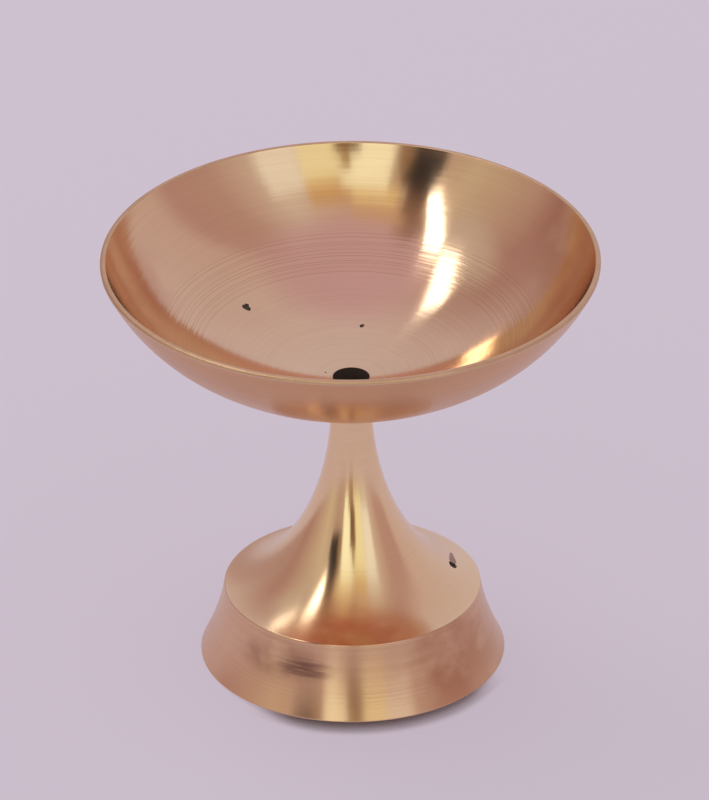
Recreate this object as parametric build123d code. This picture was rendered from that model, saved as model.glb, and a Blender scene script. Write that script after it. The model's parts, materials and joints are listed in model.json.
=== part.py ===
from build123d import *
from math import acos, asin, atan2, cos, degrees, hypot, radians, sin
import os

# Butter lamp in turned brass: a round bowl screwed on to a trumpet-shaped pedestal.
# Millimetres, +Z up. Both pieces are turned about Z, and the foot stands on Z = 0.

# Whole lamp
height = 57.0
rim_radius = 32.15
foot_radius = 19.65

# Bowl: a shallow floor arc that runs tangent into a tighter wall arc.
# Both are shares of the one arc that would join the middle of the underside to the rim.
bowl_depth = 17.2
bowl_wall = 0.8
floor_share = 1.071
wall_share = 0.708
lip_round = 0.3
boss_blend = 1.6

# Wick socket: a plain drilled hole in the middle of the bowl's floor
socket_radius = 2.38
socket_depth = 1.8

# Screwed joint: the pedestal's spigot stands in the bowl's boss, which sits on the collar.
# Both are left plain here, at the thread's outer size.
tapped_depth = 2.4
spigot_radius = 2.75
spigot_chamfer = 0.3
thread_clearance = 0.05
spigot_end_gap = 0.15
seat_radius = 3.6
collar_height = 1.3

# Pedestal: the trumpet is part of an ellipse, upright just above the seat.
# It has turned by so many degrees round its ellipse where it reaches the foot's edge.
neck_radius = 2.65
neck_rise = 0.4
flare_turn = 79
edge_radius = 16.5
edge_height = 9.6
skirt_bow = 0.4
edge_round = 0.15

# Hollow underside, left by the casting's core
rest_width = 1.6
casting_wall = 2.2
core_inset = 1.7
core_share = 0.45
core_round = 1.2

# Places worked out from the sizes above
floor_height = height - bowl_depth
outer_depth = bowl_depth + bowl_wall
one_arc = (rim_radius**2 + outer_depth**2) / (2 * outer_depth)
outer_floor = floor_share * one_arc
outer_wall = wall_share * one_arc
floor_centre = height - outer_depth + outer_floor
socket_floor = floor_height - socket_depth
seat_height = socket_floor - tapped_depth
cove_height = seat_height - collar_height
tapped_radius = spigot_radius + thread_clearance
spigot_top = socket_floor - spigot_end_gap
neck_height = seat_height + neck_rise
flare_angle = radians(flare_turn)
trumpet_reach = (edge_radius - neck_radius) / (1 - cos(flare_angle))
trumpet_drop = (neck_height - edge_height) / sin(flare_angle)
trumpet_centre = (neck_radius + trumpet_reach, neck_height)
core_corner_radius = edge_radius - core_inset
core_top = edge_height + core_share * (neck_height - edge_height)


def wall_arc_centre():
    """Centre of the wall's arcs, and the angle up from the bottom where floor and wall meet."""
    apart = outer_floor - outer_wall
    drop = floor_centre - height
    reach = hypot(rim_radius, drop)
    at_centre = acos((apart**2 + reach**2 - outer_wall**2) / (2 * apart * reach))
    meet = atan2(rim_radius, drop) - at_centre
    return (apart * sin(meet), floor_centre - apart * cos(meet)), meet


def swept_arc(centre, radius, start, end):
    """Arc between two angles, both measured in radians up from the arc's lowest point."""
    return CenterArc(centre, radius, degrees(start) - 90, degrees(end - start))


def swept_ellipse(centre, reach, drop, start, end):
    """Ellipse arc between two angles, both in radians from its innermost point, going down."""
    return EllipticalCenterArc(centre, reach, drop, 180 + degrees(start), arc_size=degrees(end - start))


def turned(edges):
    """Turn a closed half section, drawn as radius and height, about the lamp's axis."""
    section = Plane.XZ * Face(Wire(edges))
    return revolve(section, Axis.Z)


def ring(solid, radius, level):
    """The solid's circular edge nearest to a radius and a height."""
    circles = solid.edges().filter_by(GeomType.CIRCLE)
    return min(circles, key=lambda edge: hypot(edge.radius - radius, edge.arc_center.Z - level))


def make_bowl():
    """Thin bowl with a rounded lip, and a tapped boss under its floor."""
    wall_centre, meet = wall_arc_centre()
    inner_floor = outer_floor - bowl_wall
    inner_wall = outer_wall - bowl_wall
    socket_angle = asin(socket_radius / inner_floor)
    boss_angle = asin(seat_radius / outer_floor)
    inner_lip = acos((wall_centre[1] - height) / inner_wall)
    outer_lip = acos((wall_centre[1] - height) / outer_wall)

    inside_floor = swept_arc((0, floor_centre), inner_floor, socket_angle, meet)
    inside_wall = swept_arc(wall_centre, inner_wall, meet, inner_lip)
    outside_wall = swept_arc(wall_centre, outer_wall, outer_lip, meet)
    outside_floor = swept_arc((0, floor_centre), outer_floor, meet, boss_angle)
    lip = Line(inside_wall @ 1, outside_wall @ 0)
    boss = Polyline(
        outside_floor @ 1,
        (seat_radius, seat_height),
        (tapped_radius, seat_height),
        (tapped_radius, socket_floor),
        (socket_radius, socket_floor),
        inside_floor @ 0,
    )
    bowl = turned([inside_floor, inside_wall, lip, outside_wall, outside_floor, *boss.edges()])

    boss_root = (outside_floor @ 1).Y
    bowl = fillet(ring(bowl, seat_radius, boss_root), boss_blend)
    inner_rim = ring(bowl, (inside_wall @ 1).X, height)
    outer_rim = ring(bowl, rim_radius, height)
    return fillet([inner_rim, outer_rim], lip_round)


def make_pedestal():
    """Trumpet stem and foot in one casting, with a spigot on top and a hollow underside."""
    cove_angle = asin((neck_height - cove_height) / trumpet_drop)
    trumpet = swept_ellipse(trumpet_centre, trumpet_reach, trumpet_drop, cove_angle, flare_angle)
    cove_radius = seat_radius - (trumpet @ 0).X
    cove = CenterArc((seat_radius, cove_height), cove_radius, 90, 90)
    collar_and_spigot = Polyline(
        (0, spigot_top),
        (spigot_radius - spigot_chamfer, spigot_top),
        (spigot_radius, spigot_top - spigot_chamfer),
        (spigot_radius, seat_height),
        (seat_radius, seat_height),
        cove @ 0,
    )
    skirt = SagittaArc((edge_radius, edge_height), (foot_radius, 0), -skirt_bow)

    core_reach = trumpet_reach + casting_wall
    core_drop = trumpet_drop + casting_wall
    corner_angle = acos((trumpet_centre[0] - core_corner_radius) / core_reach)
    top_angle = asin((neck_height - core_top) / core_drop)
    ceiling = swept_ellipse(trumpet_centre, core_reach, core_drop, top_angle, corner_angle)
    underside = Polyline((foot_radius, 0), (foot_radius - rest_width, 0), ceiling @ 1)
    core_end = Polyline(ceiling @ 0, (0, core_top), (0, spigot_top))
    pedestal = turned(
        [*collar_and_spigot.edges(), cove, trumpet, skirt, *underside.edges(), ceiling, *core_end.edges()]
    )

    core_corner = ring(pedestal, core_corner_radius, (ceiling @ 1).Y)
    core_rim = ring(pedestal, (ceiling @ 0).X, core_top)
    pedestal = fillet([core_corner, core_rim], core_round)
    shoulder = ring(pedestal, edge_radius, edge_height)
    toe = ring(pedestal, foot_radius, 0)
    return fillet([shoulder, toe], edge_round)


pieces = {"bowl": make_bowl(), "pedestal": make_pedestal()}

os.makedirs("parts", exist_ok=True)
for name, piece in pieces.items():
    export_step(piece, f"parts/{name}.step")
    box = piece.bounding_box()
    print(name, "volume", round(piece.volume, 1), "mm3, from", box.min, "to", box.max)
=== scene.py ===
import json
from math import acos, asin, atan2, ceil, cos, exp, hypot, pi, radians, sin, sqrt, tan

import bmesh
import bpy
from mathutils import Matrix, Vector, noise


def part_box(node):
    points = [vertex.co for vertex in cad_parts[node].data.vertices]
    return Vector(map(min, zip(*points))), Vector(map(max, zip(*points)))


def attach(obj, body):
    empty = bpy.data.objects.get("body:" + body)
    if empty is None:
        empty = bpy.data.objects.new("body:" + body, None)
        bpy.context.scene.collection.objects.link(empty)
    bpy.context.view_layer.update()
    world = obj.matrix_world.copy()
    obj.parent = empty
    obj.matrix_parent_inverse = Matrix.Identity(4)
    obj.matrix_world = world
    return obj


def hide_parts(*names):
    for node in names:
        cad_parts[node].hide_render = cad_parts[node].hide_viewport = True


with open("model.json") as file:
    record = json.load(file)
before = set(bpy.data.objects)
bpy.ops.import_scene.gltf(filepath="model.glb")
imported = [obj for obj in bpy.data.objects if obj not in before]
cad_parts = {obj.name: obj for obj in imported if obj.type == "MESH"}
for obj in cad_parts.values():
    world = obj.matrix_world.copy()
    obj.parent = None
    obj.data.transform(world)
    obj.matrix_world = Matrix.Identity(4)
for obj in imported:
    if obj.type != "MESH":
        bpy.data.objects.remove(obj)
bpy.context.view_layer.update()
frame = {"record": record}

# Butter lamp in turned brass: a bowl screwed on to a trumpet-shaped pedestal.
# Metres, +Z up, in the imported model's frame. Both pieces are half sections spun about Z.
MM = 0.001

# Sizes read from the frame
mounts = {mount["name"]: mount for mount in frame["record"]["mounts"]}
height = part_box("bowl")[1].z
seat_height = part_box("bowl")[0].z
spigot_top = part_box("pedestal")[1].z
socket_radius = mounts["wick_socket"]["dims"]["r_mm"] * MM

# Bowl: a shallow floor arc that runs tangent into a tighter wall arc, as shares of one plain arc
rim_radius = 32.15 * MM
bowl_depth = 17.2 * MM
bowl_wall = 0.8 * MM
floor_share = 1.071
wall_share = 0.708
lip_inner_round = 0.15 * MM
lip_outer_round = 0.42 * MM
boss_blend = 1.6 * MM
socket_depth = 1.8 * MM

# Screwed joint between boss and spigot
seat_radius = 3.6 * MM
collar_height = 1.3 * MM
thread_crest = 2.75 * MM
thread_core = 2.45 * MM
thread_clearance = 0.05 * MM
thread_pitch = 0.9 * MM
spigot_chamfer = 0.3 * MM
# Where each thread starts above the seat, in pitches, and how many turns it has
boss_thread_start = 0.9
boss_thread_turns = 1.35
spigot_thread_start = 0.45
spigot_thread_turns = 1.3

# Pedestal: part of an ellipse from the neck to the foot's edge, and a slightly hollow skirt
foot_radius = 19.65 * MM
neck_radius = 2.65 * MM
neck_rise = 0.4 * MM
flare_turn = radians(79)
edge_radius = 16.5 * MM
edge_height = 9.6 * MM
skirt_bow = 0.4 * MM
edge_round = 0.15 * MM

# Hollow underside
rest_width = 1.6 * MM
casting_wall = 2.2 * MM
core_inset = 1.7 * MM
core_share = 0.45
core_round = 1.2 * MM

# Rings that the tool left in the bowl: one by itself, a band of them, and a last one on the wall
ring_half_width = 0.045 * MM
ring_depth = 0.004 * MM
faint_ring_depth = 0.0018 * MM
lone_ring = 19.1 * MM
band_start = 19.7 * MM
band_spacing = 0.45 * MM
band_rings = 10
wall_ring = 28.0 * MM
# Rings this near to the band's middle are the deeper ones
band_middle = 22.9 * MM
strong_band = 1.5 * band_spacing
# How unevenly the rings of the band are spaced
band_sway = 0.25
band_sway_step = 2.4

# Casting pits, as overlapping dents of (x, y, radius)
bowl_pit = (
    (-13.5 * MM, 11.2 * MM, 0.38 * MM),
    (-13.15 * MM, 11.1 * MM, 0.34 * MM),
    (-13.3 * MM, 11.6 * MM, 0.28 * MM),
)
small_pit = (
    (1.37 * MM, 10.71 * MM, 0.24 * MM),
    (1.6 * MM, 10.85 * MM, 0.14 * MM),
)
faint_pit = ((-3.24 * MM, 1.01 * MM, 0.13 * MM),)
flare_pit = (
    (12.95 * MM, 0.95 * MM, 0.46 * MM),
    (12.95 * MM, 1.5 * MM, 0.44 * MM),
)
# A scar runs out from the flare's pit, drawn as a row of close dents that get smaller
scar_start = (12.94 * MM, 2.35 * MM, 0.46 * MM)
scar_end = (12.78 * MM, 4.9 * MM, 0.18 * MM)
scar_dents = 12
# Depths as shares of a dent's radius
pit_depth = 0.8
scar_depth = 0.25
# How ragged a dent's edge is, and how finely the faces about it are cut
pit_raggedness = 0.2
pit_grain = 0.4 * MM
pit_margin = 0.5 * MM
pit_cuts = 4

# How finely the sections and the spin are divided
spin_sectors = 12
sector_steps = 24
inside_stride = 0.4 * MM
outside_stride = 0.6 * MM
blend_stride = 0.12 * MM
trumpet_steps = 96
skirt_stride = 0.45 * MM
core_steps = 16
round_segments = 12

# Limits: bends that stay crisp, points to merge, places that count as one, faces that look upwards
sharp_angle = radians(16)
merge_distance = 0.002 * MM
touching = 0.01 * MM
facing_up = 0.2

# Places worked out from the sizes above
floor_height = height - bowl_depth
outer_depth = bowl_depth + bowl_wall
one_arc = (rim_radius**2 + outer_depth**2) / (2 * outer_depth)
outer_floor = floor_share * one_arc
outer_wall = wall_share * one_arc
inner_floor = outer_floor - bowl_wall
inner_wall = outer_wall - bowl_wall
floor_centre = (0.0, height - outer_depth + outer_floor)
socket_floor = floor_height - socket_depth
tapped_radius = thread_crest + thread_clearance
cove_height = seat_height - collar_height
neck_height = seat_height + neck_rise
trumpet_reach = (edge_radius - neck_radius) / (1 - cos(flare_turn))
trumpet_drop = (neck_height - edge_height) / sin(flare_turn)
trumpet_centre = (neck_radius + trumpet_reach, neck_height)
core_corner_radius = edge_radius - core_inset
core_top = edge_height + core_share * (neck_height - edge_height)


def wall_arc_centre():
    """Centre of the wall's arcs, and the angle up from the bottom where floor and wall meet."""
    apart = outer_floor - outer_wall
    drop = floor_centre[1] - height
    reach = hypot(rim_radius, drop)
    at_centre = acos((apart**2 + reach**2 - outer_wall**2) / (2 * apart * reach))
    meet = atan2(rim_radius, drop) - at_centre
    return (apart * sin(meet), floor_centre[1] - apart * cos(meet)), meet


wall_centre, meet_angle = wall_arc_centre()


def spin_round(mesh, geom, angle, steps, **more):
    """Spin a shape about the lamp's axis."""
    centre = (0.0, 0.0, 0.0)
    upright = (0.0, 0.0, 1.0)
    bmesh.ops.spin(mesh, geom=geom, cent=centre, axis=upright, angle=angle, steps=steps, **more)


class Section:
    """A half section drawn with one moving tip, as radius and height in the plane Y = 0."""

    def __init__(self, radius, level):
        self.mesh = bmesh.new()
        self.tip = self.mesh.verts.new((radius, 0.0, level))

    def line(self, radius, level):
        """Draw straight to a place."""
        self.tip = bmesh.ops.extrude_vert_indiv(self.mesh, verts=[self.tip])["verts"][0]
        self.tip.co = (radius, 0.0, level)

    def arc(self, centre, end, stride):
        """Swing the tip about a centre until it lies towards another place."""
        start_angle = atan2(self.tip.co.x - centre[0], self.tip.co.z - centre[1])
        end_angle = atan2(end[0] - centre[0], end[1] - centre[1])
        swing = (end_angle - start_angle + pi) % (2 * pi) - pi
        reach = hypot(self.tip.co.x - centre[0], self.tip.co.z - centre[1])
        self.swing(centre, swing, max(1, ceil(abs(swing) * reach / stride)))

    def swing(self, centre, angle, steps):
        """Swing the tip about a centre by an angle, and give back the points it passed."""
        passed = len(self.mesh.verts)
        first = self.tip
        swept = bmesh.ops.spin(
            self.mesh,
            geom=[self.tip],
            cent=(centre[0], 0.0, centre[1]),
            axis=(0.0, 1.0, 0.0),
            angle=angle,
            steps=steps,
        )
        self.tip = next(part for part in swept["geom_last"] if isinstance(part, bmesh.types.BMVert))
        self.mesh.verts.ensure_lookup_table()
        return [first, *self.mesh.verts[passed:]]

    def ellipse(self, centre, reach, drop, start, end, steps):
        """Draw part of an ellipse, from one angle to another, both from its innermost point going down."""
        self.tip.co.z = centre[1] - reach * sin(start)
        curve = self.swing(centre, start - end, steps)
        about_centre = Matrix.Translation((-centre[0], 0.0, -centre[1]))
        bmesh.ops.scale(self.mesh, vec=(1.0, 1.0, drop / reach), space=about_centre, verts=curve)

    def turned(self):
        """Spin the section about the lamp's axis: one sector first, then the whole round of sectors."""
        sector = 2 * pi / spin_sectors
        outline = self.mesh.verts[:] + self.mesh.edges[:]
        spin_round(self.mesh, outline, sector, sector_steps)
        wedge = self.mesh.verts[:] + self.mesh.edges[:] + self.mesh.faces[:]
        spin_round(self.mesh, wedge, 2 * pi - sector, spin_sectors - 1, use_duplicate=True)
        bmesh.ops.remove_doubles(self.mesh, verts=self.mesh.verts[:], dist=merge_distance)
        bmesh.ops.recalc_face_normals(self.mesh, faces=self.mesh.faces[:])
        return self.mesh


def round_ring(mesh, radius, level, curve):
    """Round the circular edge at a radius and a height."""
    ring = []
    for edge in mesh.edges:
        off = [hypot(hypot(v.co.x, v.co.y) - radius, v.co.z - level) for v in edge.verts]
        if max(off) < touching:
            ring.append(edge)
    offset = curve * tan(ring[0].calc_face_angle() / 2)
    bmesh.ops.bevel(
        mesh,
        geom=ring,
        offset=offset,
        offset_type="OFFSET",
        segments=round_segments,
        profile=0.5,
        affect="EDGES",
        material=-1,
    )


def lay_thread(mesh, root, crest, first, turns):
    """Wind a ridge of right-hand thread round the axis, which fades out at both ends."""
    foot_half = 0.4 * thread_pitch
    steps_per_turn = 72
    fade_turns = 0.3
    least_rise = 0.03
    coil = bmesh.new()
    corners = [
        coil.verts.new((root, 0.0, first - foot_half)),
        coil.verts.new((crest, 0.0, first)),
        coil.verts.new((root, 0.0, first + foot_half)),
    ]
    ridge = bmesh.ops.contextual_create(coil, geom=corners)
    profile = corners + ridge["edges"] + ridge["faces"]
    climb = (0.0, 0.0, thread_pitch / steps_per_turn)
    spin_round(coil, profile, 2 * pi * turns, round(turns * steps_per_turn), dvec=climb)
    for vert in coil.verts:
        radius = hypot(vert.co.x, vert.co.y)
        if abs(radius - crest) < abs(radius - root):
            wound = (vert.co.z - first) / thread_pitch
            rise = max(least_rise, min(1.0, wound / fade_turns, (turns - wound) / fade_turns))
            share = (root + rise * (crest - root)) / radius
            vert.co.x *= share
            vert.co.y *= share
    bmesh.ops.recalc_face_normals(coil, faces=coil.faces[:])
    wound_thread = bpy.data.meshes.new("thread")
    coil.to_mesh(wound_thread)
    coil.free()
    mesh.from_mesh(wound_thread)
    bpy.data.meshes.remove(wound_thread)


def inside_level(radius):
    """Height of the bowl's inside at a radius."""
    if radius < inner_floor * sin(meet_angle):
        return floor_centre[1] - sqrt(inner_floor**2 - radius**2)
    return wall_centre[1] - sqrt(inner_wall**2 - (radius - wall_centre[0]) ** 2)


def draw_inside(section, radius):
    """Carry the section up the bowl's inside, out to a radius."""
    meet_radius = inner_floor * sin(meet_angle)
    slack = 0.001 * MM
    on_floor = 0.999999
    if section.tip.co.x < meet_radius - slack:
        floor_end = min(radius, meet_radius)
        section.arc(floor_centre, (floor_end, inside_level(floor_end * on_floor)), inside_stride)
    if radius > meet_radius:
        section.arc(wall_centre, (radius, inside_level(radius)), inside_stride)


def ring_radii():
    """Radii of the rings inside the bowl, outwards, uneven as a hand-fed tool leaves them."""
    feed_steps = [step + band_sway * sin(band_sway_step * step) for step in range(band_rings)]
    return [lone_ring, *[band_start + band_spacing * step for step in feed_steps], wall_ring]


tool_rings = ring_radii()


def bowl_mesh():
    """The bowl: inside with its tool rings, lip, outside, boss with a tapped hole, wick hole."""
    inner_lip = wall_centre[0] + sqrt(inner_wall**2 - (wall_centre[1] - height) ** 2)
    meet_outside = (outer_floor * sin(meet_angle), floor_centre[1] - outer_floor * cos(meet_angle))
    blend_reach = seat_radius + boss_blend
    blend_drop = sqrt((outer_floor + boss_blend) ** 2 - blend_reach**2)
    blend_centre = (blend_reach, floor_centre[1] - blend_drop)

    section = Section(socket_radius, inside_level(socket_radius))
    for ring in tool_rings:
        depth = ring_depth if abs(ring - band_middle) < strong_band else faint_ring_depth
        draw_inside(section, ring - ring_half_width)
        section.line(ring, inside_level(ring) - depth)
        section.line(ring + ring_half_width, inside_level(ring + ring_half_width))
    draw_inside(section, inner_lip)
    section.line(rim_radius, height)
    section.arc(wall_centre, meet_outside, outside_stride)
    section.arc(floor_centre, blend_centre, outside_stride)
    section.arc(blend_centre, (seat_radius, blend_centre[1]), blend_stride)
    section.line(seat_radius, seat_height)
    section.line(tapped_radius, seat_height)
    section.line(tapped_radius, socket_floor)
    section.line(socket_radius, socket_floor)
    section.line(socket_radius, inside_level(socket_radius))
    mesh = section.turned()
    round_ring(mesh, inner_lip, height, lip_inner_round)
    round_ring(mesh, rim_radius, height, lip_outer_round)
    first = seat_height + boss_thread_start * thread_pitch
    lay_thread(mesh, tapped_radius, thread_core + thread_clearance, first, boss_thread_turns)
    return mesh


def pedestal_mesh():
    """The pedestal: threaded spigot, collar, trumpet stem, skirt and hollow underside."""
    cove_angle = asin((neck_height - cove_height) / trumpet_drop)
    cove_radius = seat_radius - (trumpet_centre[0] - trumpet_reach * cos(cove_angle))
    core_reach = trumpet_reach + casting_wall
    core_drop = trumpet_drop + casting_wall
    corner_angle = acos((trumpet_centre[0] - core_corner_radius) / core_reach)
    corner_level = neck_height - core_drop * sin(corner_angle)
    core_end_angle = asin((neck_height - core_top) / core_drop)
    core_end_radius = trumpet_centre[0] - core_reach * cos(core_end_angle)

    chord = Vector((foot_radius - edge_radius, -edge_height))
    skirt_reach = (chord.length_squared / 4 + skirt_bow**2) / (2 * skirt_bow)
    outward = Vector((-chord.y, chord.x)).normalized()
    skirt_centre = Vector((edge_radius, edge_height)) + chord / 2 + outward * (skirt_reach - skirt_bow)

    section = Section(0.0, spigot_top)
    section.line(thread_core - spigot_chamfer, spigot_top)
    section.line(thread_core, spigot_top - spigot_chamfer)
    section.line(thread_core, seat_height)
    section.line(seat_radius, seat_height)
    section.line(seat_radius, cove_height + cove_radius)
    section.arc((seat_radius, cove_height), (seat_radius - cove_radius, cove_height), blend_stride)
    section.ellipse(trumpet_centre, trumpet_reach, trumpet_drop, cove_angle, flare_turn, trumpet_steps)
    section.arc(skirt_centre, (foot_radius, 0.0), skirt_stride)
    section.line(foot_radius - rest_width, 0.0)
    section.line(core_corner_radius, corner_level)
    section.ellipse(trumpet_centre, core_reach, core_drop, corner_angle, core_end_angle, core_steps)
    section.line(0.0, core_top)
    mesh = section.turned()
    round_ring(mesh, edge_radius, edge_height, edge_round)
    round_ring(mesh, foot_radius, 0.0, edge_round)
    round_ring(mesh, core_corner_radius, corner_level, core_round)
    round_ring(mesh, core_end_radius, core_top, core_round)
    first = seat_height + spigot_thread_start * thread_pitch
    lay_thread(mesh, thread_core, thread_crest, first, spigot_thread_turns)
    return mesh


def row_of_dents(start, end, count):
    """Dents of (x, y, radius) spaced evenly from a first one to a last one."""
    shares = [step / (count - 1) for step in range(count)]
    return [tuple(a + share * (b - a) for a, b in zip(start, end)) for share in shares]


def sink_pit(mesh, dents, depth, finish):
    """Sink a pit into an upper surface, as overlapping dents of (x, y, radius)."""
    edges = set()
    for face in mesh.faces:
        middle = face.calc_center_median()
        gaps = [hypot(middle.x - x, middle.y - y) - radius for x, y, radius in dents]
        if face.normal.z > facing_up and min(gaps) < pit_margin:
            edges.update(face.edges)
    bmesh.ops.subdivide_edges(mesh, edges=list(edges), cuts=pit_cuts, use_grid_fill=True)
    mesh.normal_update()
    sunk = {}
    for vert in mesh.verts:
        ragged = 1.0 + pit_raggedness * noise.noise(vert.co / pit_grain)
        depths = [0.0]
        for x, y, radius in dents:
            share = hypot(vert.co.x - x, vert.co.y - y) / (radius * ragged)
            if vert.normal.z > facing_up and share < 1:
                depths.append(depth * radius * sqrt(1 - share**2))
        if max(depths) > 0:
            sunk[vert] = vert.normal * max(depths)
    for vert, move in sunk.items():
        vert.co -= move
    for face in mesh.faces:
        if sum(vert in sunk for vert in face.verts) >= 2:
            face.material_index = finish


# Colours
brass_clean = (0.86, 0.62, 0.40, 1.0)
brass_tarnished = (0.62, 0.38, 0.21, 1.0)
# Painted shade: darkens the bowl's walls where they mirror the bowl's own wall
painted_wall_shade = (0.70, 0.41, 0.25, 1.0)
# The bowl's outside, where it faces down, gets darker and more orange brass than the inside
outside_clean = (0.75, 0.44, 0.245, 1.0)
outside_tarnished = (0.58, 0.32, 0.18, 1.0)
stem_clean = (0.92, 0.68, 0.42, 1.0)
# Painted reflection: the bowl's red-brown underside as mirrored on the front of the flare
painted_flare_reflection = (0.80, 0.37, 0.24, 1.0)
skirt_clean = (0.82, 0.54, 0.34, 1.0)
skirt_tarnished = (0.60, 0.32, 0.18, 1.0)
skirt_brown = (0.46, 0.25, 0.16, 1.0)
scar_light = (0.50, 0.30, 0.22, 1.0)
scar_dark = (0.30, 0.16, 0.12, 1.0)
ring_light = (0.76, 0.53, 0.33, 1.0)
ring_brown = (0.62, 0.40, 0.23, 1.0)
# Painted reflection: a dark streak that the skirt mirrors on its front left
painted_skirt_reflection = (0.26, 0.14, 0.10, 1.0)
cast_brown = (0.46, 0.32, 0.17, 1.0)
cast_dark = (0.20, 0.13, 0.07, 1.0)
# Near black for the wick hole, the spigot's end and the casting pits
dark_fill_deep = (0.035, 0.026, 0.024, 1.0)
dark_fill_brown = (0.085, 0.055, 0.040, 1.0)
floor_lilac = (0.604, 0.521, 0.610, 1.0)


def feed(tree, socket, value):
    """Link another socket to an input, or set the input to a plain value."""
    if isinstance(value, bpy.types.NodeSocket):
        tree.links.new(value, socket)
    else:
        socket.default_value = value


def add(tree, kind, place, **values):
    """Add a node, and feed the inputs named by their labels with underscores for spaces."""
    node = tree.nodes.new(kind)
    node.location = place
    for label, value in values.items():
        feed(tree, node.inputs[label.replace("_", " ")], value)
    return node


def reckon(tree, operation, first, second, place):
    """Add a node that works out one number from two values or sockets."""
    node = tree.nodes.new("ShaderNodeMath")
    node.operation = operation
    node.location = place
    for socket, value in zip(node.inputs, (first, second)):
        feed(tree, socket, value)
    return node.outputs[0]


def blend_colours(tree, factor, first, second, place):
    """Add a node that blends two colours."""
    node = tree.nodes.new("ShaderNodeMix")
    node.data_type = "RGBA"
    node.location = place
    # The node's colour sockets come after those for numbers and vectors
    for index, value in ((0, factor), (6, first), (7, second)):
        feed(tree, node.inputs[index], value)
    return node.outputs[2]


def ramp(tree, value, span, result, place, kind="LINEAR"):
    """Add a node that carries a value from one span over to another."""
    node = add(tree, "ShaderNodeMapRange", place, Value=value)
    node.interpolation_type = kind
    for label, limit in zip(("From Min", "From Max", "To Min", "To Max"), (*span, *result)):
        node.inputs[label].default_value = limit
    return node.outputs[0]


def mix_shaders(tree, factor, first, second):
    """Add a node that mixes two shaders."""
    node = tree.nodes.new("ShaderNodeMixShader")
    for socket, source in zip(node.inputs, (factor, first, second)):
        tree.links.new(source, socket)
    return node.outputs[0]


def object_place(tree):
    """Where a point lies in its object."""
    return tree.nodes.new("ShaderNodeTexCoord").outputs["Object"]


def distance_from(tree, middle, reach, level):
    """How far a point lies from a middle, counted in reaches along X, Y and Z."""
    patch = add(tree, "ShaderNodeMapping", (-1300, level), Vector=object_place(tree))
    patch.inputs["Location"].default_value = [-at / far for at, far in zip(middle, reach)]
    patch.inputs["Scale"].default_value = [1 / far for far in reach]
    away = tree.nodes.new("ShaderNodeVectorMath")
    away.operation = "LENGTH"
    away.location = (-1100, level)
    tree.links.new(patch.outputs[0], away.inputs[0])
    return away.outputs["Value"]


def new_material(name):
    """A new material, with its node tree and its shader."""
    material = bpy.data.materials.new(name)
    material.use_nodes = True
    return material, material.node_tree, material.node_tree.nodes["Principled BSDF"]


def tool_mark_group():
    """Marks that turning leaves: fine lines and slower waves that all run round the axis."""
    patch_scale = 70.0
    tree = bpy.data.node_groups.new("tool_marks", "ShaderNodeTree")
    for label in ("Line Spacing", "Wave Spacing", "Line Depth", "Wave Depth"):
        tree.interface.new_socket(label, in_out="INPUT", socket_type="NodeSocketFloat")
    for label in ("Height", "Streak"):
        tree.interface.new_socket(label, in_out="OUTPUT", socket_type="NodeSocketFloat")
    given = tree.nodes.new("NodeGroupInput").outputs
    place = object_place(tree)

    parts = add(tree, "ShaderNodeSeparateXYZ", (-900, 0), Vector=place).outputs
    across = reckon(tree, "POWER", parts["X"], 2.0, (-700, 0))
    along = reckon(tree, "POWER", parts["Y"], 2.0, (-700, -200))
    radius = reckon(tree, "SQRT", reckon(tree, "ADD", across, along, (-500, 0)), 0.0, (-300, 0))

    def noise_round_axis(spacing, detail, level):
        out = reckon(tree, "DIVIDE", radius, spacing, (-100, level))
        up = reckon(tree, "DIVIDE", parts["Z"], spacing, (-100, level - 150))
        flat = add(tree, "ShaderNodeCombineXYZ", (100, level), X=out, Y=up).outputs[0]
        wavy = add(tree, "ShaderNodeTexNoise", (300, level), Vector=flat, Scale=1.0, Detail=detail)
        return wavy.outputs["Fac"]

    lines = noise_round_axis(given["Line Spacing"], 1.0, 300)
    waves = noise_round_axis(given["Wave Spacing"], 0.0, -100)
    patches = add(tree, "ShaderNodeTexNoise", (300, -500), Vector=place, Scale=patch_scale, Detail=2.0)
    line_height = reckon(tree, "MULTIPLY", lines, given["Line Depth"], (500, 300))
    wave_height = reckon(tree, "MULTIPLY", waves, given["Wave Depth"], (500, 0))
    streak = reckon(tree, "MULTIPLY", lines, patches.outputs["Fac"], (500, -300))
    out = tree.nodes.new("NodeGroupOutput")
    tree.links.new(reckon(tree, "ADD", line_height, wave_height, (700, 200)), out.inputs["Height"])
    tree.links.new(streak, out.inputs["Streak"])
    return tree


tool_marks = tool_mark_group()


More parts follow.
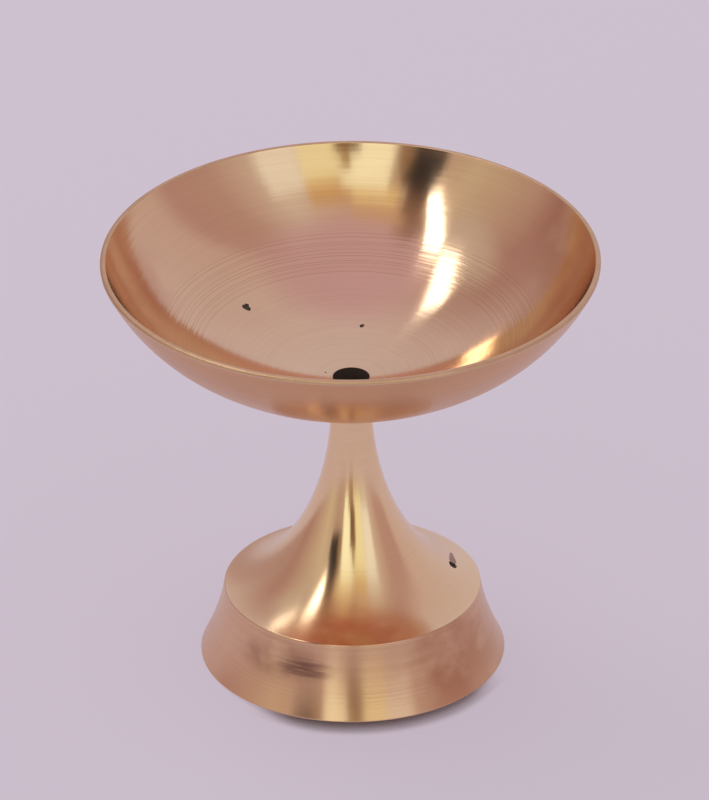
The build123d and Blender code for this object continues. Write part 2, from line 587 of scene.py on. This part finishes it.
def turned_brass(name, clean, tarnished, tarnish, roughness, marks):
    """Brass off the lathe: brushed round the axis, with a faint uneven tarnish."""
    brushed = 0.92
    brush_turn = 0.25
    tarnish_streaks = (0.15, 0.45)
    rough_streaks = (0.1, 0.5)
    material, tree, shader = new_material(name)
    lathe = tree.nodes.new("ShaderNodeGroup")
    lathe.node_tree = tool_marks
    lathe.location = (-800, 0)
    for label, value in marks.items():
        lathe.inputs[label].default_value = value
    streak = lathe.outputs["Streak"]

    tone = ramp(tree, streak, tarnish_streaks, (0.0, tarnish), (-500, 300))
    colour = blend_colours(tree, tone, clean, tarnished, (-250, 300))
    tree.links.new(colour, shader.inputs["Base Color"])

    rough = ramp(tree, streak, rough_streaks, roughness, (-500, 0))
    tree.links.new(rough, shader.inputs["Roughness"])

    marked = lathe.outputs["Height"]
    bump = add(tree, "ShaderNodeBump", (-250, -300), Height=marked, Strength=1.0, Distance=1.0)
    tree.links.new(bump.outputs[0], shader.inputs["Normal"])
    tangent = tree.nodes.new("ShaderNodeTangent")
    tangent.direction_type = "RADIAL"
    tangent.axis = "Z"
    tree.links.new(tangent.outputs[0], shader.inputs["Tangent"])
    shader.inputs["Metallic"].default_value = 1.0
    shader.inputs["Anisotropic"].default_value = brushed
    shader.inputs["Anisotropic Rotation"].default_value = brush_turn
    return material


def tint_patch(material, middle, reach, colour, strength, streak):
    """Tint a patch of a metal about a middle, in streaks so many times as long as high. It gives brown
    patches, painted reflections and painted shade.
    """
    full_within = 0.25
    grain_scale = 180.0
    streak_span = (0.30, 0.56)
    tree = material.node_tree
    base = tree.nodes["Principled BSDF"].inputs["Base Color"]
    away = distance_from(tree, middle, reach, 700)
    fall = ramp(tree, away, (full_within, 1.0), (strength, 0.0), (-900, 700), "SMOOTHSTEP")
    drawn_out = add(tree, "ShaderNodeMapping", (-1300, 1000), Vector=object_place(tree))
    drawn_out.inputs["Scale"].default_value = (grain_scale, grain_scale, grain_scale * streak)
    grain = add(tree, "ShaderNodeTexNoise", (-1100, 1000), Vector=drawn_out.outputs[0], Scale=1.0, Detail=3.0)
    streaks = ramp(tree, grain.outputs["Fac"], streak_span, (0.0, 1.0), (-900, 1000))
    amount = reckon(tree, "MULTIPLY", fall, streaks, (-600, 800))
    plain = base.links[0].from_socket
    tree.links.new(blend_colours(tree, amount, plain, colour, (-100, 500)), base)


def dull_below(material, high, low, extra):
    """Make a metal rougher from one height down to a lower one."""
    tree = material.node_tree
    rough = tree.nodes["Principled BSDF"].inputs["Roughness"]
    level = add(tree, "ShaderNodeSeparateXYZ", (-700, -100), Vector=object_place(tree)).outputs["Z"]
    share = ramp(tree, level, (low, high), (extra, 0.0), (-500, -100))
    plain = rough.links[0].from_socket
    tree.links.new(reckon(tree, "ADD", plain, share, (-250, -50)), rough)


def mottled_metal(name, light, dark, grain, grain_depth, metallic, roughness):
    """Metal without polish: two tones in a grain, with the grain standing out a little."""
    material, tree, shader = new_material(name)
    place = object_place(tree)
    mottle = add(tree, "ShaderNodeTexNoise", (-600, 0), Vector=place, Scale=1.0 / grain, Detail=4.0)
    tone = mottle.outputs["Fac"]
    tree.links.new(blend_colours(tree, tone, dark, light, (-300, 200)), shader.inputs["Base Color"])
    bump = add(tree, "ShaderNodeBump", (-300, -200), Height=tone, Strength=1.0, Distance=grain_depth)
    tree.links.new(bump.outputs[0], shader.inputs["Normal"])
    shader.inputs["Metallic"].default_value = metallic
    shader.inputs["Roughness"].default_value = roughness
    return material


bowl_marks = {
    "Line Spacing": 0.12 * MM,
    "Wave Spacing": 0.6 * MM,
    "Line Depth": 0.0012 * MM,
    "Wave Depth": 0.007 * MM,
}
stem_marks = {
    "Line Spacing": 0.14 * MM,
    "Wave Spacing": 0.8 * MM,
    "Line Depth": 0.0003 * MM,
    "Wave Depth": 0.0015 * MM,
}
skirt_marks = {
    "Line Spacing": 0.10 * MM,
    "Wave Spacing": 0.6 * MM,
    "Line Depth": 0.0006 * MM,
    "Wave Depth": 0.0016 * MM,
}
# Name, clean and tarnished colour, most tarnish, least and most roughness, tool marks
bowl_brass = turned_brass("bowl_brass", brass_clean, brass_tarnished, 0.30, (0.11, 0.16), bowl_marks)
outside_brass = turned_brass("outside_brass", outside_clean, outside_tarnished, 0.5, (0.20, 0.28), bowl_marks)
stem_brass = turned_brass("stem_brass", stem_clean, brass_tarnished, 0.15, (0.11, 0.15), stem_marks)
skirt_brass = turned_brass("skirt_brass", skirt_clean, skirt_tarnished, 0.5, (0.21, 0.27), skirt_marks)
ring_tarnish = turned_brass("ring_tarnish", ring_light, ring_brown, 0.6, (0.15, 0.20), stem_marks)
# Name, light and dark tone, size and depth of the grain, how metallic, roughness
cast_skin = mottled_metal("cast_skin", cast_brown, cast_dark, 0.5 * MM, 0.06 * MM, 1.0, 0.55)
lip_brass = mottled_metal("lip_brass", ring_light, ring_brown, 2.0 * MM, 0.002 * MM, 1.0, 0.42)
scar_brown = mottled_metal("scar_brown", scar_light, scar_dark, 1.2 * MM, 0.01 * MM, 1.0, 0.35)
dark_fill = mottled_metal("dark_fill", dark_fill_brown, dark_fill_deep, 0.8 * MM, 0.03 * MM, 0.0, 0.75)
dull_below(stem_brass, high=19.0 * MM, low=12.0 * MM, extra=0.11)

# Metal, middle and reach in millimetres, colour, strength, how drawn out
tinted_patches = (
    # These two patches on the bowl's walls are painted shade, darker where the walls mirror each other
    (bowl_brass, (29.0, 9.0, 53.0), (9.0, 15.0, 10.0), painted_wall_shade, 0.8, 1.0),
    (bowl_brass, (-27.0, 2.5, 50.0), (7.0, 13.0, 9.0), painted_wall_shade, 0.7, 1.0),
    # Painted reflection of the bowl's underside on the front of the flare
    (stem_brass, (0.0, -15.2, 10.2), (11.0, 6.0, 4.0), painted_flare_reflection, 1.0, 3.0),
    (skirt_brass, (14.0, -12.0, 6.0), (14.0, 14.0, 9.0), skirt_tarnished, 0.95, 1.6),
    (skirt_brass, (-9.5, -14.2, 6.5), (10.0, 7.0, 4.0), skirt_brown, 0.8, 1.6),
    # A painted dark reflection, in a thin streak on the skirt's front left
    (skirt_brass, (-6.5, -16.0, 6.0), (5.4, 4.0, 1.8), painted_skirt_reflection, 0.9, 12.0),
)
for metal, middle, reach, colour, strength, streak in tinted_patches:
    tint_patch(metal, [at * MM for at in middle], [far * MM for far in reach], colour, strength, streak)

# Finishes of each piece, in the order of its material slots
bowl_finishes = [bowl_brass, ring_tarnish, dark_fill, outside_brass, lip_brass]
pedestal_finishes = [stem_brass, cast_skin, dark_fill, skirt_brass, scar_brown]


def finish_bowl_faces(mesh):
    """Give the tool rings, the wick hole, the lip and the outside their own finishes."""
    facing_down = -0.3
    ring_slot = bowl_finishes.index(ring_tarnish)
    dark_fill_slot = bowl_finishes.index(dark_fill)
    outside_slot = bowl_finishes.index(outside_brass)
    lip_slot = bowl_finishes.index(lip_brass)
    for face in mesh.faces:
        middle = face.calc_center_median()
        radius = hypot(middle.x, middle.y)
        outward = face.normal.x * middle.x + face.normal.y * middle.y
        lip_round = lip_outer_round if outward > 0 else lip_inner_round
        in_ring = any(abs(radius - ring) < ring_half_width for ring in tool_rings[:-1])
        if radius < socket_radius + touching and middle.z > socket_floor + touching:
            face.material_index = dark_fill_slot
        elif face.normal.z > facing_up and in_ring:
            face.material_index = ring_slot
        elif middle.z > height - lip_round:
            face.material_index = lip_slot
        elif face.normal.z < facing_down and radius > seat_radius:
            face.material_index = outside_slot


def finish_pedestal_faces(mesh):
    """Leave the hollow underside as it was cast, dull the skirt, and blacken the spigot's end."""
    level_or_down = 0.1
    core_slack = 0.1 * MM
    facing_out = 0.5
    hollow_radius = foot_radius - rest_width
    cast_slot = pedestal_finishes.index(cast_skin)
    dark_fill_slot = pedestal_finishes.index(dark_fill)
    skirt_slot = pedestal_finishes.index(skirt_brass)
    for face in mesh.faces:
        middle = face.calc_center_median()
        radius = hypot(middle.x, middle.y)
        outward = face.normal.x * middle.x + face.normal.y * middle.y
        in_hollow = middle.z < core_top + core_slack and radius < hollow_radius
        if face.normal.z < level_or_down and in_hollow:
            face.material_index = cast_slot
        elif outward > facing_out * radius and middle.z < edge_height:
            face.material_index = skirt_slot
        elif middle.z > spigot_top - touching:
            face.material_index = dark_fill_slot


def mesh_object(name, mesh, materials):
    """Put a finished mesh into the scene as a smooth object with its materials."""
    data = bpy.data.meshes.new(name)
    mesh.to_mesh(data)
    mesh.free()
    data.shade_smooth()
    for material in materials:
        data.materials.append(material)
    made = bpy.data.objects.new(name, data)
    bpy.context.scene.collection.objects.link(made)
    return made


def make_piece(name, mesh, body, materials):
    """Turn a finished mesh into a piece that stands for a node and moves with its body."""
    piece = mesh_object(name, mesh, materials)
    piece.data.set_sharp_from_angle(angle=sharp_angle)
    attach(piece, body)
    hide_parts(body)


bowl_shape = bowl_mesh()
finish_bowl_faces(bowl_shape)
for pit in (bowl_pit, small_pit, faint_pit):
    sink_pit(bowl_shape, pit, pit_depth, bowl_finishes.index(dark_fill))
make_piece("turned_bowl", bowl_shape, "bowl", bowl_finishes)

pedestal_shape = pedestal_mesh()
finish_pedestal_faces(pedestal_shape)
flare_scar = row_of_dents(scar_start, scar_end, scar_dents)
sink_pit(pedestal_shape, flare_scar, scar_depth, pedestal_finishes.index(scar_brown))
sink_pit(pedestal_shape, flare_pit, pit_depth, pedestal_finishes.index(dark_fill))
make_piece("turned_pedestal", pedestal_shape, "pedestal", pedestal_finishes)


# Floor and lights
table_radius = 0.4
floor_radius = 4.0
near_floor_step = 2.0 * MM
near_floor_steps = 30
floor_roughness = 0.9
floor_specular = 0.1
# Share of the floor that shows at its own colour, away from the shade by the foot and over the dip
steady_share = 0.7
foot_shade = 1.6 * MM
dip_shade_near = 12.0 * MM
dip_shade_far = 20.0 * MM
# The floor dips along the front of the foot, to hold a dark shadow there.
# Angles are taken round the foot, from the front to the right.
dip_turn = radians(14)
dip_half_turn = radians(24)
dip_fade = radians(32)
dip_reach = 9.0 * MM
dip_depth = 1.15 * MM


def floor_material():
    """Plain pale floor that is clear from below; a steady share of it shows at its own colour."""
    material, tree, shader = new_material("pale_floor")
    shader.inputs["Base Color"].default_value = floor_lilac
    shader.inputs["Roughness"].default_value = floor_roughness
    shader.inputs["Specular IOR Level"].default_value = floor_specular
    plain = add(tree, "ShaderNodeEmission", (0, -300), Color=floor_lilac, Strength=1.0)

    def grows_from(middle, near, far, level):
        away = distance_from(tree, (*middle, 0.0), (1.0, 1.0, 1.0), level)
        return ramp(tree, away, (near, far), (0.0, steady_share), (-500, level), "SMOOTHSTEP")

    clear_of_foot = grows_from((0.0, 0.0), foot_radius, foot_radius + foot_shade, 700)
    shade_middle = (foot_radius * sin(dip_turn), -foot_radius * cos(dip_turn))
    clear_of_dip = grows_from(shade_middle, dip_shade_near, dip_shade_far, 1000)
    steady = reckon(tree, "MAXIMUM", clear_of_foot, clear_of_dip, (-300, 800))
    rays = tree.nodes.new("ShaderNodeLightPath").outputs
    mirrored = reckon(tree, "MAXIMUM", rays["Is Glossy Ray"], rays["Is Transmission Ray"], (-400, 300))
    seen = reckon(tree, "MAXIMUM", rays["Is Camera Ray"], mirrored, (-200, 300))
    shown = reckon(tree, "MULTIPLY", seen, steady, (0, 300))
    mixed = mix_shaders(tree, shown, shader.outputs[0], plain.outputs[0])
    clear = tree.nodes.new("ShaderNodeBsdfTransparent").outputs[0]
    behind = tree.nodes.new("ShaderNodeNewGeometry").outputs["Backfacing"]
    from_below = mix_shaders(tree, behind, mixed, clear)
    tree.links.new(from_below, tree.nodes["Material Output"].inputs["Surface"])
    return material


def floor_ring(name, radii, material):
    """A round of floor drawn out through a few radii, with the dip under the foot."""
    sheet = Section(radii[0], 0.0)
    for radius in radii[1:]:
        sheet.line(radius, 0.0)
    mesh = sheet.turned()
    if sum(face.normal.z for face in mesh.faces) < 0:
        bmesh.ops.reverse_faces(mesh, faces=mesh.faces[:])
    for vert in mesh.verts:
        turn = abs(atan2(vert.co.x, -vert.co.y) - dip_turn)
        past = max(0.0, turn - dip_half_turn) / dip_fade
        away = (hypot(vert.co.x, vert.co.y) - foot_radius) / dip_reach
        vert.co.z -= dip_depth * exp(-(past**2) - away**2)
    ring = mesh_object(name, mesh, [material])
    return ring


pale_floor = floor_material()
near_radii = [step * near_floor_step for step in range(near_floor_steps + 1)]
floor_ring("near_floor", [*near_radii, table_radius], pale_floor)
far_floor = floor_ring("far_floor", [table_radius, floor_radius], pale_floor)
far_floor.visible_glossy = False


def aim(obj, target):
    """Turn a light or camera to face a place."""
    obj.rotation_euler = (Vector(target) - obj.location).to_track_quat("-Z", "Y").to_euler()


def area_light(name, place, target, size_x, size_y, power):
    """A rectangular light that faces a place."""
    data = bpy.data.lights.new(name, "AREA")
    data.shape = "RECTANGLE"
    data.size = size_x
    data.size_y = size_y
    data.energy = power
    light = bpy.data.objects.new(name, data)
    light.location = place
    bpy.context.scene.collection.objects.link(light)
    aim(light, target)
    return light


# Tube lamps that only the brass mirrors, and a soft light for the floor's shadow
tube_height = 1.0
tube_width = 0.12
soft_place = (-0.5, 0.6, 1.0)
soft_size = 0.5
soft_power = 3.0
lamp_middle = Vector((0.0, 0.0, 0.045))
# Name: where the tube starts and ends, seen from above, and its glare
tubes = {
    "front_tube": ((-0.755, -0.62), (-0.48, 0.0), 15.0),
    "dim_tube": ((-0.48, 0.0), (-0.545, 0.14), 5.0),
    "back_tube": ((-0.545, 0.14), (-0.43, 0.52), 12.0),
}
for name, (start, end, glare) in tubes.items():
    start = Vector((*start, tube_height))
    end = Vector((*end, tube_height))
    middle = (start + end) / 2
    length = (end - start).length
    power = glare * tube_width * length
    tube = area_light(name, middle, lamp_middle, tube_width, length, power)
    along = (end - start).normalized()
    across = along.cross(middle - lamp_middle).normalized()
    tube.rotation_euler = Matrix((across, along, across.cross(along))).transposed().to_euler()
    tube.visible_diffuse = False
soft = area_light("soft", soft_place, (0, 0, 0), soft_size, soft_size, soft_power)
soft.visible_glossy = False


# What the brass mirrors: a ring of (azimuth, colour) round the lamp, and soft-edged windows over it.
# Azimuth is in degrees from the front, to the right; elevation is in degrees above the floor.
room_ring = (
    (-180, (0.65, 0.61, 0.73)),
    (-155, (0.60, 0.52, 0.60)),
    (-128, (0.43, 0.28, 0.30)),
    (-110, (0.42, 0.26, 0.28)),
    (-62, (0.63, 0.56, 0.48)),
    (-40, (0.50, 0.39, 0.36)),
    (0, (0.60, 0.47, 0.40)),
    (40, (0.68, 0.63, 0.62)),
    (70, (0.50, 0.35, 0.36)),
    (92, (0.49, 0.33, 0.36)),
    (102, (0.60, 0.49, 0.53)),
    (180, (0.65, 0.61, 0.73)),
)
ceiling = (0.59, 0.43, 0.57, 1.0)
ceiling_span = (54.0, 74.0)
# The windows' edges sway by up to so many degrees
edge_sway = 6.0
sway_scale = 40.0
even_light = 0.9
# Name: azimuths, elevations, softness of the edges, colour
windows = {
    "pale glow": ((-125, -70), (41, 60), 6.0, (0.56, 0.50, 0.51, 1.0)),
    "brown above": ((-68, -44), (54, 70), 4.0, (0.32, 0.20, 0.18, 1.0)),
    "brown above front": ((-48, -2), (55, 66), 4.0, (0.62, 0.42, 0.30, 1.0)),
    "warm strip right": ((-4, 26), (45, 57), 3.0, (0.62, 0.41, 0.20, 1.0)),
    "warm strip left": ((-32, -2), (46, 57), 3.0, (0.84, 0.72, 0.42, 1.0)),
    "warm strip low": ((6, 26), (39, 48), 3.0, (0.78, 0.62, 0.35, 1.0)),
    "front panel right": ((4, 26), (2, 42), 1.5, (0.93, 0.94, 0.68, 1.0)),
    "front panel left": ((-22, 5), (2, 48), 1.5, (1.08, 1.16, 0.98, 1.0)),
    "pale panel": ((26, 46), (6, 46), 3.0, (0.91, 0.95, 0.97, 1.0)),
    "brown tail": ((-50, -37), (46, 60), 2.0, (0.24, 0.15, 0.11, 1.0)),
    "dark panel top": ((-46, -35), (38, 50), 2.0, (0.13, 0.085, 0.075, 1.0)),
    "dark panel": ((-47, -29), (18, 44), 1.0, (0.03, 0.026, 0.03, 1.0)),
    "dark panel side": ((-31, -24), (18, 38), 1.2, (0.30, 0.21, 0.14, 1.0)),
    "low left back": ((-178, -115), (-10, 22), 6.0, (0.44, 0.31, 0.33, 1.0)),
    "brown notch foot": ((-11, 4), (-8, 9), 1.5, (0.42, 0.28, 0.18, 1.0)),
    "brown notch": ((-5, 8), (7, 28), 1.5, (0.22, 0.13, 0.08, 1.0)),
    "brown notch tip": ((-1, 5), (27, 38), 1.5, (0.46, 0.34, 0.18, 1.0)),
}


def edge_mask(tree, value, low, high, softness, place):
    """One between two limits, falling smoothly to nothing past them."""
    centre = reckon(tree, "SUBTRACT", value, (low + high) / 2, place)
    off = reckon(tree, "ABSOLUTE", centre, 0.0, (place[0] + 150, place[1]))
    half = (high - low) / 2
    span = (half - softness, half + softness)
    return ramp(tree, off, span, (1.0, 0.0), (place[0] + 300, place[1]), "SMOOTHSTEP")


def make_world():
    """Even light for the floor, a pale backdrop, and a room for the brass to mirror."""
    world = bpy.data.worlds.new("studio")
    bpy.context.scene.world = world
    world.use_nodes = True
    tree = world.node_tree
    tree.nodes.clear()
    direction = tree.nodes.new("ShaderNodeTexCoord").outputs["Generated"]
    parts = add(tree, "ShaderNodeSeparateXYZ", (-1500, 0), Vector=direction).outputs
    forward = reckon(tree, "MULTIPLY", parts["Y"], -1.0, (-1300, 100))
    turned = reckon(tree, "ARCTAN2", parts["X"], forward, (-1150, 100))
    raised = reckon(tree, "ARCSINE", parts["Z"], 0.0, (-1150, -100))
    ragged = add(tree, "ShaderNodeTexNoise", (-1150, 300), Vector=direction, Scale=sway_scale, Detail=1.0)
    sway = ramp(tree, ragged.outputs["Fac"], (0.0, 1.0), (-edge_sway, edge_sway), (-1000, 300))
    steady_azimuth = reckon(tree, "DEGREES", turned, 0.0, (-1000, 100))
    azimuth = reckon(tree, "ADD", steady_azimuth, sway, (-850, 100))
    elevation = reckon(tree, "DEGREES", raised, 0.0, (-1000, -100))

    turn = ramp(tree, steady_azimuth, (-180.0, 180.0), (0.0, 1.0), (-800, 200))
    ring = add(tree, "ShaderNodeValToRGB", (-600, 200), Fac=turn)
    stops = ring.color_ramp.elements
    while len(stops) < len(room_ring):
        stops.new(0.5)
    for stop, (where, colour) in zip(stops, room_ring):
        stop.position = (where + 180) / 360
        stop.color = (*colour, 1.0)
    up = ramp(tree, elevation, ceiling_span, (0.0, 1.0), (-600, -200), "SMOOTHSTEP")
    room = blend_colours(tree, up, ring.outputs[0], ceiling, (-300, 200))
    for row, (name, (azimuths, elevations, softness, colour)) in enumerate(windows.items()):
        level = -400 - 250 * row
        across = edge_mask(tree, azimuth, *azimuths, softness, (-900, level))
        upright = edge_mask(tree, elevation, *elevations, softness, (-900, level - 120))
        inside = reckon(tree, "MULTIPLY", across, upright, (-400, level))
        room = blend_colours(tree, inside, room, colour, (-200, level))
        room.node.label = name

    rays = tree.nodes.new("ShaderNodeLightPath").outputs
    white = (1.0, 1.0, 1.0, 1.0)
    even = add(tree, "ShaderNodeBackground", (0, 300), Color=white, Strength=even_light)
    mirrored = add(tree, "ShaderNodeBackground", (0, 100), Color=room, Strength=1.0)
    backdrop = add(tree, "ShaderNodeBackground", (0, -100), Color=floor_lilac, Strength=1.0)
    by_brass = mix_shaders(tree, rays["Is Glossy Ray"], even.outputs[0], mirrored.outputs[0])
    by_camera = mix_shaders(tree, rays["Is Camera Ray"], by_brass, backdrop.outputs[0])
    out = tree.nodes.new("ShaderNodeOutputWorld")
    tree.links.new(by_camera, out.inputs["Surface"])


make_world()

# Camera: far off and about 29 degrees up, so that the lamp looks almost without perspective
image_height = 800
camera_distance = 2.0
camera_elevation = radians(29.4)
camera_roll = radians(-0.35)
pixels_per_metre = 7800.0
camera_aim = Vector((0.00041, 0.00274, 0.03487))

camera_data = bpy.data.cameras.new("camera")
camera_data.sensor_width = 36.0
camera_data.lens = pixels_per_metre * camera_distance * camera_data.sensor_width / image_height
camera = bpy.data.objects.new("camera", camera_data)
camera.location = camera_aim + camera_distance * Vector((0, -cos(camera_elevation), sin(camera_elevation)))
bpy.context.scene.collection.objects.link(camera)
aim(camera, camera_aim)
camera.rotation_euler.rotate_axis("Z", camera_roll)
bpy.context.scene.camera = camera
bpy.context.scene.view_settings.view_transform = "Standard"
